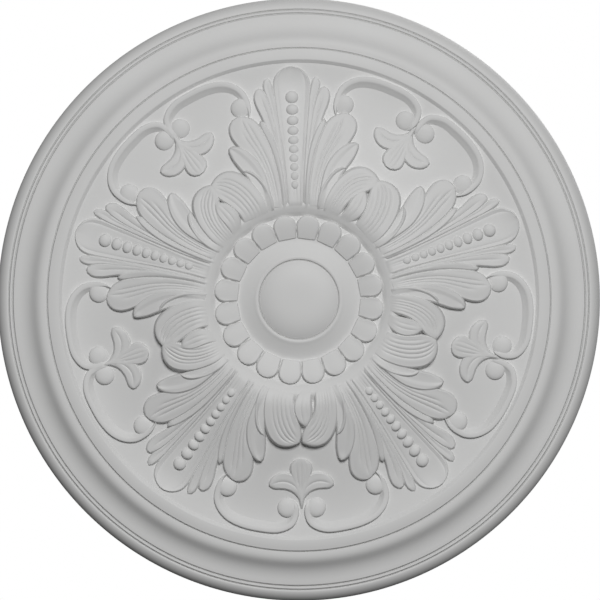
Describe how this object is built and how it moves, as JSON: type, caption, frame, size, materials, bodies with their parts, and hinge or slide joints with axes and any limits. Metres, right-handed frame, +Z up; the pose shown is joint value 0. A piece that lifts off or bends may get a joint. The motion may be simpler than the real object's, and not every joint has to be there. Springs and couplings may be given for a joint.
{
  "type": "ceiling rose",
  "caption": "Round moulded ceiling rose with a stepped rim, acanthus leaves, bead rows, scrolls and a petalled boss.",
  "frame": {"origin": "centre of the flat back face, where the rose lies against the ceiling", "axes": "+Z up, out of the flat back into the ceiling; the ornament faces down, -Z; the middle leaf of the picture's top points to -Y"},
  "size_m": [0.51, 0.51, 0.0581],
  "materials": {
    "primed_white": "factory-primed matt white on moulded rigid polyurethane"
  },
  "bodies": {
    "root": {"ceiling_rose": "primed_white"}
  },
  "joints": []
}
